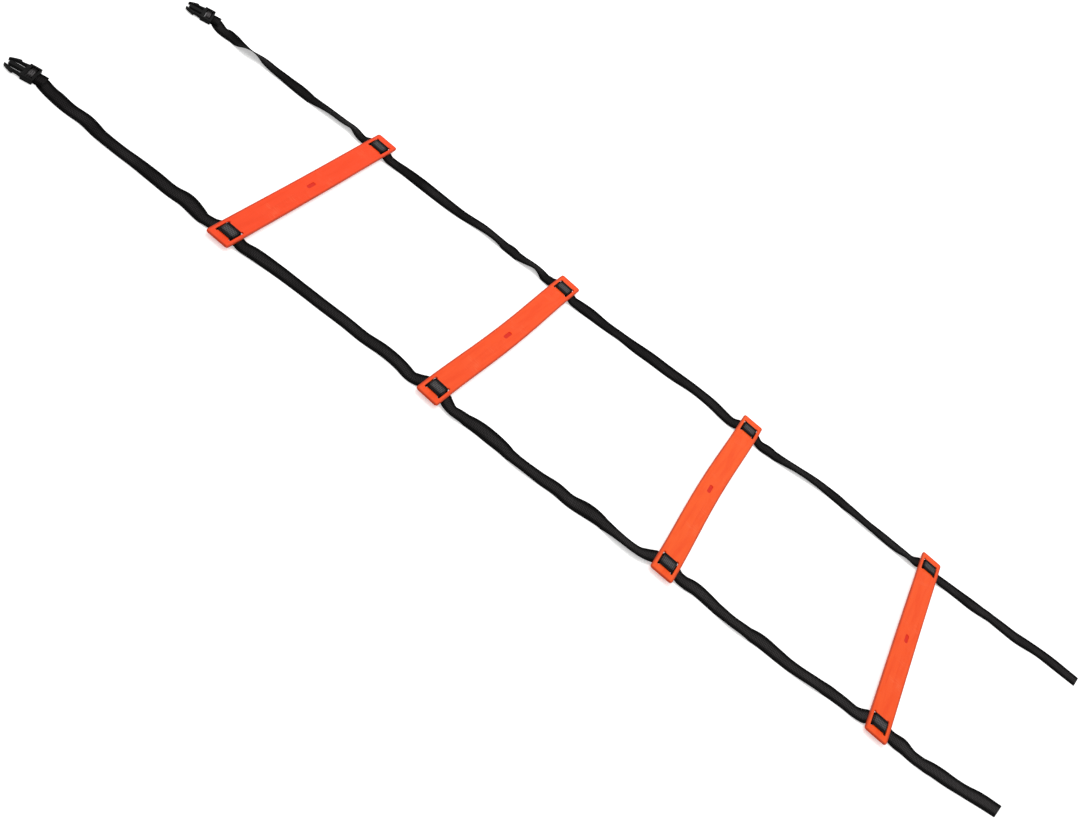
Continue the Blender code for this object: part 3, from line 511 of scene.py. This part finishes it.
def threadedPath():
    # (x, z) from the free end, back over the rear bar's underside, over the centre bar, round
    # its front and out under both bars to the crease
    front, rear, low, high = strap["centreBar"]
    rearFront, rearLow = strap["rearBar"]
    tuckFirst, tuckGap = strap["tuck"]
    slope = -crossing((rear, -high), (rearFront, -rearLow))
    _, inside, outside = strap["levelSteps"]
    path = np.concatenate([
        [(-ladder["air"] / 2, 0)], np.linspace((tuckFirst, 0), (front + tuckGap, 0), inside),
        bend((front, low), -90, -180), bend((front, high), 180, 90),
        bend((rear, high), 90, slope + 90), bend((rearFront, rearLow), slope - 90, -90),
        np.linspace((rearFront - tuckFirst, rearLow - middleBend),
                    (strap["tag"], rearLow - middleBend), outside)])
    return path[::-1]


def flatRun(axesFrame, path, middle):
    # the path in one upright plane: the way along comes from the neighbours, the side is level
    points = np.stack([path[:, 0], np.full(len(path), middle), path[:, 1]], axis=1)
    along = np.gradient(points, axis=0)
    along /= np.linalg.norm(along, axis=1, keepdims=True)
    side = np.tile((0.0, 1.0, 0.0), (len(path), 1))
    turn = axesFrame[1].T
    return toWorld(axesFrame, points), side @ turn, np.cross(along, side) @ turn


def splineAt(knots, values, x, heldEnd):
    # Hermite cubic through the knots with averaged chord slopes, straight along the first gap
    # and, if held, along the last
    knots, values = np.asarray(knots, float), np.asarray(values, float)
    chords = np.diff(values) / np.diff(knots)
    slopes = np.empty_like(values)
    slopes[1:-1] = (chords[:-1] + chords[1:]) / 2
    slopes[:2] = chords[0]
    slopes[-2 if heldEnd else -1:] = chords[-1]
    k = np.clip(np.searchsorted(knots, x) - 1, 0, len(knots) - 2)
    gap = knots[k + 1] - knots[k]
    t = (x - knots[k]) / gap
    start = values[k] * (1 + 2 * t) * (1 - t) ** 2 + slopes[k] * gap * t * (1 - t) ** 2
    end = values[k + 1] * t ** 2 * (3 - 2 * t) + slopes[k + 1] * gap * t ** 2 * (t - 1)
    return start + end


def looseRun(start, end, lie):
    # a loose stretch between two held ends: sideways swing, roll and lift are splines over X,
    # and the middle stays high enough that no edge dips below the floor
    width, thick = strap["width"], strap["thickness"]
    leadIn, leadOut = start["x"] + start["lead"], end["x"] - end["lead"]
    inY = start["y"] + start["slope"] * start["lead"]
    outY = end["y"] - end["slope"] * end["lead"]
    shares, asides, rolls, lifts = np.array(lie, float).T
    xs = np.concatenate([[start["x"], leadIn], leadIn + shares * (leadOut - leadIn)])
    ys = np.concatenate([[start["y"], inY], inY + shares * (outY - inY) + asides * width])
    rolls = np.concatenate([[0, 0], rolls])
    lifts = np.concatenate([[start["lift"]] * 2, lifts * width])
    heldEnd = end["lead"] > 0
    if heldEnd:
        xs = np.concatenate([xs, [leadOut, end["x"]]])
        ys = np.concatenate([ys, [outY, end["y"]]])
        rolls = np.concatenate([rolls, [0, 0]])
        lifts = np.concatenate([lifts, [end["lift"]] * 2])
    count = round((end["x"] - start["x"]) / strap["alongStep"])
    x = np.linspace(start["x"], end["x"], count)

    def middleAt(x):
        roll = np.radians(splineAt(xs, rolls, x, heldEnd))
        lift = np.maximum(0, splineAt(xs, lifts, x, heldEnd))
        clear = thick / 2 * np.cos(roll) + (width / 2 - strap["bevel"]) * np.abs(np.sin(roll))
        return np.stack([x, splineAt(xs, ys, x, heldEnd), clear + lift], axis=1), roll

    points, roll = middleAt(x)
    along = (middleAt(np.minimum(x + strap["slopeStep"], end["x"]))[0]
             - middleAt(np.maximum(x - strap["slopeStep"], start["x"]))[0])
    along /= np.linalg.norm(along, axis=1, keepdims=True)
    level = np.stack([-along[:, 1], along[:, 0], np.zeros(len(x))], axis=1)
    level /= np.linalg.norm(level, axis=1, keepdims=True)
    rolled, upright = roll[:, None], np.cross(along, level)
    side = level * np.cos(rolled) + upright * np.sin(rolled)
    return points, side, np.cross(along, side)


def slatSeam(index, side, direction):
    # where the webbing leaves a slat on one side of it
    reach = direction * (ladder["seam"] + ladder["air"] / 2)
    middle = side * ladder["strapSpacing"] / 2 - ladder["drift"]
    x, y, _ = toWorld(slatFrames[index], (reach, middle, 0))
    return {"x": x, "y": y, "slope": -math.tan(math.radians(ladder["slatSkew"][index])),
            "lift": ladder["seatLift"], "lead": strap["lead"]}


def buckleFrame(name):
    # the crease behind a buckle half, with the half's own turn about the vertical
    side, turn = sides[name], strap["buckleTurn"][name]
    x, y, _ = toWorld(slatFrames[0], (0, side * ladder["strapSpacing"] / 2, 0))
    reach = (strap["buckleLength"] + strap["hingeGap"]) * math.cos(math.radians(turn))
    return turnedFrame((x - strap["buckleReach"] + reach, y + strap["buckleShift"][name],
                        strap["thickness"] / 2), turn)


def easedRun(points, side, normal, first):
    # webbing turns slowly in its own plane: past the buckle half each way across is the mean of
    # its neighbours', weighted by a bell curve over their distance along the strap, and so is
    # each place on the floor, less and less towards a slat, where the strap is held
    steps = np.linalg.norm(np.diff(points, axis=0), axis=1)
    length = np.concatenate([[0], np.cumsum(steps)])
    spread = (length[:, None] - length[None, :]) / strap["ease"]
    weight = np.exp(-spread ** 2 / 2)
    weight[:, :first] = 0
    weight[:first] = np.eye(first, len(points))
    weight /= weight.sum(axis=1, keepdims=True)
    side = weight @ side
    reach = np.min([np.abs((points - place) @ axes[:, 0]) for place, axes in slatFrames], axis=0)
    fromEnd = np.minimum(length - length[first], length[-1] - length)
    held = np.minimum(reach - ladder["seam"], fromEnd) / strap["heldReach"]
    loose = np.clip(held, 0, 1)[:, None]
    points = points.copy()
    points[:, :2] += loose * (weight @ points - points)[:, :2]
    along = np.gradient(points, axis=0)
    fresh = np.cross(along, side)
    fresh /= np.linalg.norm(fresh, axis=1, keepdims=True)
    normal = np.where(np.arange(len(points))[:, None] < first, normal, fresh)
    # a station whose lowest corner would dip below the floor is raised onto it
    reach = (strap["width"] / 2 - strap["selvedge"]) * np.abs(side[:, 2])
    low = points[:, 2] - reach - strap["thickness"] / 2 * np.abs(normal[:, 2])
    points[:, 2] += np.maximum(0, -low)
    return points, side, normal


def wholeRun(name):
    # every stretch of one strap in order, and the first station of each
    side = sides[name]
    middle = side * ladder["strapSpacing"] / 2 - ladder["drift"]
    crease = buckleFrame(name)
    slope = math.tan(math.radians(strap["buckleTurn"][name]))
    gap = ladder["air"] / 2
    fromCrease = {"x": crease[0][0] + gap, "y": crease[0][1] + slope * gap, "slope": slope,
                  "lift": 0, "lead": strap["creaseLead"]}
    runs = [("threaded", flatRun(crease, threadedPath(), 0)),
            ("start", looseRun(fromCrease, slatSeam(0, side, -1), lies[name]["start"]))]
    for index in range(len(slatX)):
        runs.append((f"woven{index + 1}", flatRun(slatFrames[index], wovenPath(), middle)))
        if index < len(slatX) - 1:
            label = f"{index + 1}{index + 2}"
            runs.append((label, looseRun(slatSeam(index, side, 1), slatSeam(index + 1, side, -1),
                                         lies[name][label])))
    seam = slatSeam(len(slatX) - 1, side, 1)
    bareEnd = {"x": seam["x"] - ladder["seam"] + gap + strap["tail"][name], "y": seam["y"],
               "slope": 0, "lift": 0, "lead": 0}
    runs.append(("end", looseRun(seam, bareEnd, lies[name]["end"])))
    firsts, total = {}, 0
    for label, run in runs:
        firsts[label] = total
        total += len(run[0])
    firsts["last"] = total - 1
    route = [np.concatenate([run[k] for _, run in runs]) for k in range(3)]
    return *easedRun(*route, firsts["start"]), firsts


def webSection():
    # half thickness h over the place v across: full in the middle, a quarter round at each
    # selvedge, less a shallow cosine valley between the woven columns
    steps = strap["acrossSteps"]
    half, edge, thick = strap["width"] / 2, strap["selvedge"], strap["thickness"] / 2
    t = np.linspace(-1, 1, steps + 1)
    v = half * ((1 - strap["crowding"]) * t + strap["crowding"] * np.sin(np.pi / 2 * t))
    over = np.clip((np.abs(v) - (half - edge)) / edge, 0, 1)
    valley = strap["rib"] / 2 * (1 + np.cos(2 * np.pi * (v + half) / strap["ribWidth"]))
    h = thick * (np.sqrt(1 - over ** 2) - valley * (1 - over))
    h[0] = h[-1] = 0
    ringV = np.concatenate([v[::-1], v[1:-1]])
    ringH = np.concatenate([h[::-1], -h[1:-1]])
    return ringV, ringH


def strapPiece(name, run, length, first, last, material, sealedEnds, slant):
    # the section carried along the stations from first to last, closed at both ends
    points, side, normal = (part[first:last + 1] for part in run)
    along = length[first:last + 1]
    v, h = webSection()
    ring, count = len(v), len(points)
    fromEnd = np.minimum(np.where(sealedEnds[0], along - along[0], 1),
                         np.where(sealedEnds[1], along[-1] - along, 1))
    melted = np.clip(1 - fromEnd / strap["sealLength"], 0, 1)
    thinned = np.sqrt(1 - strap["sealThin"] * melted ** 2)
    grid = (points[:, None, :] + side[:, None, :] * v[None, :, None]
            + normal[:, None, :] * (h[None, :] * thinned[:, None])[:, :, None])
    # the cut by hand isn't square: each place goes ahead by the tangent of the slant times its
    # distance from the pivot, more and more towards the bare end
    lean = np.clip(1 - (along[-1] - along) / strap["cutReach"], 0, 1) * sealedEnds[1]
    ahead = lean[:, None] * (v - strap["cutPivot"])[None, :] * math.tan(math.radians(slant))
    grid += np.cross(side, normal)[:, None, :] * ahead[:, :, None]
    i, j = np.meshgrid(np.arange(count - 1), np.arange(ring), indexing="ij")
    n = (j + 1) % ring
    quads = np.stack([i * ring + j, i * ring + n, (i + 1) * ring + n, (i + 1) * ring + j], axis=-1)
    faces = quads.reshape(-1, 4).tolist()
    faces.append(list(range(ring))[::-1])
    faces.append(list(range((count - 1) * ring, count * ring)))
    mesh = bpy.data.meshes.new(name)
    mesh.from_pydata(grid.reshape(-1, 3).tolist(), [], faces)
    # the strap's own map, in millimetres: the length along it and the place across
    loops = np.empty(len(mesh.loops), np.int32)
    mesh.loops.foreach_get("vertex_index", loops)
    flatMap = np.stack([(along[:, None] + ahead).ravel(),
                        np.tile(v + strap["width"] / 2, count)], axis=1) * 1000
    mesh.uv_layers.new(name="strap").data.foreach_set("uv", flatMap[loops].ravel())
    mesh.attributes.new("sealed", "FLOAT", "POINT").data.foreach_set(
        "value", np.repeat(melted, ring).astype(np.float32))
    # painted highlight where it is pulled tight over the bars: within the bridge's width of a
    # slat's middle, and where it is highest in the buckle half
    reach = np.min([np.abs((points - place) @ axes[:, 0]) for place, axes in slatFrames], axis=0)
    onBridge = np.clip((strap["highlightReach"][0] - reach) / strap["highlightReach"][1], 0, 1)
    onBar = np.clip((points[:, 2] - strap["highlightHigh"][0]) / strap["highlightHigh"][1], 0, 1)
    onBar *= sealedEnds[0] * (along < strap["highlightLength"])
    painted_highlight = np.maximum(onBridge, onBar)
    mesh.attributes.new("painted_highlight", "FLOAT", "POINT").data.foreach_set(
        "value", np.repeat(painted_highlight, ring).astype(np.float32))
    mesh.polygons.foreach_set("use_smooth", [True] * len(mesh.polygons))
    mesh.set_sharp_from_angle(angle=math.radians(strap["sharpDegrees"]))
    mesh.materials.append(material)
    piece = bpy.data.objects.new(name, mesh)
    bpy.context.scene.collection.objects.link(piece)
    return piece


def makeStrap(name, material):
    *run, firsts = wholeRun(name)
    points = run[0]
    steps = np.linalg.norm(np.diff(points, axis=0), axis=1)
    length = np.concatenate([[0], np.cumsum(steps)])
    crease = buckleFrame(name)

    def stationAt(x, low, high):
        return low + int(np.argmin(np.abs(points[low:high, 0] - x)))

    def overBridge(index):
        first = firsts[f"woven{index + 1}"]
        return first + len(wovenPath()) // 2

    def slatPoint(index, reach):
        return toWorld(slatFrames[index], (reach, sides[name] * ladder["strapSpacing"] / 2, 0))

    near, far = strap["slideZone"]
    cuts = []
    # name, first and last station, body before, body after, start and end of the bend, solids
    tailCut = stationAt((crease[0][0] + slatX[0]) / 2, firsts["start"], firsts["woven1"])
    swing = strap["swingZone"]
    cuts.append((f"strap_{name}_buckle", 0, tailCut, f"clip_{name}", webBodies[0],
                 toWorld(crease, (swing[0], 0, 0)), toWorld(crease, (swing[1], 0, 0)),
                 (f"threading_{name}", f"start_tail_{name}")))
    before = tailCut
    for index, slatBody in enumerate(slatBodies):
        label, webBody = index + 1, webBodies[index]
        middle = overBridge(index)
        inward = f"start_tail_{name}" if index == 0 else f"span_{index}{label}_{name}_b"
        cuts.append((f"strap_{name}_into_slat_{label}", before, middle, webBody, slatBody,
                     slatPoint(index, -far), slatPoint(index, -near),
                     (inward, f"weave_{label}_{name}")))
        lastSlat = index == len(slatBodies) - 1
        if lastSlat:
            outCut, outward = firsts["last"], f"end_tail_{name}"
        else:
            bay = f"{label}{label + 1}"
            spanFirst, spanLast = firsts[bay], firsts[f"woven{label + 1}"]
            outCut = stationAt(foldX[index] - strap["foldCut"], spanFirst, spanLast)
            outward = f"span_{bay}_{name}_a"
        cuts.append((f"strap_{name}_from_slat_{label}", middle, outCut, slatBody, webBody,
                     slatPoint(index, near), slatPoint(index, far),
                     (outward, f"weave_{label}_{name}")))
        if not lastSlat:
            backCut = stationAt(foldX[index] + strap["foldCut"], spanFirst, spanLast)
            lowX, highX = np.add(foldX[index], strap["foldZones"][index])
            cuts.append((f"strap_{name}_fold_{bay}", outCut, backCut, webBody,
                         webBodies[index + 1], (lowX, 0, 0), (highX, 0, 0),
                         (outward, f"span_{bay}_{name}_b")))
            before = backCut
    for k, (label, first, last, bodyA, bodyB, start, end, nodes) in enumerate(cuts):
        sealed = (k == 0, k == len(cuts) - 1)
        piece = strapPiece(label, run, length, first, last, material, sealed,
                           strap["cutSlant"][name])
        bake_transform(piece)
        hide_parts(*nodes)
    print(f"{name} strap: {len(cuts)} pieces, {length[-1]:.3f} m from end to end")


for strapName in sides:
    makeStrap(strapName, makeWebbingMaterial(strapName))

for number in range(len(slatX)):
    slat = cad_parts[f"rung_{number + 1}"]
    slat.data.materials.clear()
    slat.data.materials.append(makeSlatMaterial(number))
acetal = makeBuckleMaterial()
for strapName in sides:
    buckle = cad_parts[f"buckle_{strapName}"]
    buckle.data.materials.clear()
    buckle.data.materials.append(acetal)
print("slats and buckle halves dressed")

# Studio: a plain pale floor that the camera sees as white, one broad soft lamp and an even sky
studio = {
    "floorReach": 14.0,
    "floor": "#f6f6f5",
    "floorGlow": 0.42,              # keeps the shadows pale
    "fade": (1.6, 5.0),             # metres out: over these the floor turns as white as the sky
    "sky": 0.75,
    "lampPlace": (-0.5, 1.3, 3.3),
    "lampSize": 2.8,
    "lampWatts": 54,
    "fillPlace": (1.6, -1.4, 2.2),
    "fillSize": 2.0,
    "fillWatts": 12,
    "cameraPlace": (-0.1494, -1.4745, 1.0721),
    "cameraTurn": (45.1754, -30.1286, 23.1098),    # degrees
    "lens": 41.667,                                # mm on a sensor 36 mm wide
}


def makeFloor():
    reach = studio["floorReach"]
    mesh = bpy.data.meshes.new("floor")
    mesh.from_pydata([(-reach, -reach, 0), (reach, -reach, 0), (reach, reach, 0),
                      (-reach, reach, 0)], [], [(0, 1, 2, 3)])
    floor = bpy.data.objects.new("floor", mesh)
    bpy.context.scene.collection.objects.link(floor)
    material, tree = newMaterial("white_paper_sweep")
    paper = addNode(tree, "ShaderNodeBsdfDiffuse", {"Color": linear(studio["floor"])})
    ray = addNode(tree, "ShaderNodeLightPath")
    seen = addNode(tree, "ShaderNodeMath", {0: ray.outputs["Is Camera Ray"],
                                            1: ray.outputs["Is Glossy Ray"]}, operation="MAXIMUM")
    through = addNode(tree, "ShaderNodeMath", {0: seen.outputs[0],
                                               1: ray.outputs["Is Transmission Ray"]},
                      operation="MAXIMUM")
    place = addNode(tree, "ShaderNodeTexCoord")
    away = addNode(tree, "ShaderNodeVectorMath", {0: place.outputs["Object"]}, operation="LENGTH")
    whiter = addNode(tree, "ShaderNodeMapRange", {
        0: away.outputs["Value"], 1: studio["fade"][0], 2: studio["fade"][1],
        3: studio["floorGlow"], 4: 1.0}, interpolation_type="SMOOTHSTEP")
    strength = addNode(tree, "ShaderNodeMath", {0: through.outputs[0], 1: whiter.outputs[0]},
                       operation="MULTIPLY")
    glow = addNode(tree, "ShaderNodeEmission", {"Color": (1, 1, 1, 1),
                                                "Strength": strength.outputs[0]})
    both = addNode(tree, "ShaderNodeAddShader", {0: paper.outputs[0], 1: glow.outputs[0]})
    addNode(tree, "ShaderNodeOutputMaterial", {0: both.outputs[0]})
    mesh.materials.append(material)


def makeSky():
    world = bpy.data.worlds.new("even_sky")
    bpy.context.scene.world = world
    world.use_nodes = True
    tree = world.node_tree
    tree.nodes.clear()
    ray = addNode(tree, "ShaderNodeLightPath")
    seen = addNode(tree, "ShaderNodeMath", {0: ray.outputs["Is Camera Ray"],
                                            1: ray.outputs["Is Transmission Ray"]},
                   operation="MAXIMUM")
    strength = addNode(tree, "ShaderNodeMapRange", {0: seen.outputs[0], 3: studio["sky"], 4: 1.0})
    sky = addNode(tree, "ShaderNodeBackground", {"Color": (1, 1, 1, 1),
                                                 "Strength": strength.outputs[0]})
    addNode(tree, "ShaderNodeOutputWorld", {0: sky.outputs[0]})


def addLamp(name, place, size, watts):
    light = bpy.data.lights.new(name, "AREA")
    light.shape = "DISK"
    light.size = size
    light.energy = watts
    lamp = bpy.data.objects.new(name, light)
    lamp.location = place
    aim = -np.array(place) / np.linalg.norm(place)
    lamp.rotation_euler = (math.acos(-aim[2]), 0, math.atan2(aim[0], -aim[1]))
    bpy.context.scene.collection.objects.link(lamp)


makeFloor()
makeSky()
addLamp("broad_lamp", studio["lampPlace"], studio["lampSize"], studio["lampWatts"])
addLamp("fill_lamp", studio["fillPlace"], studio["fillSize"], studio["fillWatts"])

cameraData = bpy.data.cameras.new("camera")
cameraData.lens = studio["lens"]
cameraData.sensor_width = 36
camera = bpy.data.objects.new("camera", cameraData)
camera.location = studio["cameraPlace"]
camera.rotation_euler = np.radians(studio["cameraTurn"])
bpy.context.scene.collection.objects.link(camera)
scene = bpy.context.scene
scene.camera = camera
scene.view_settings.view_transform = "Standard"
print("studio and camera set")

bpy.context.view_layer.update()
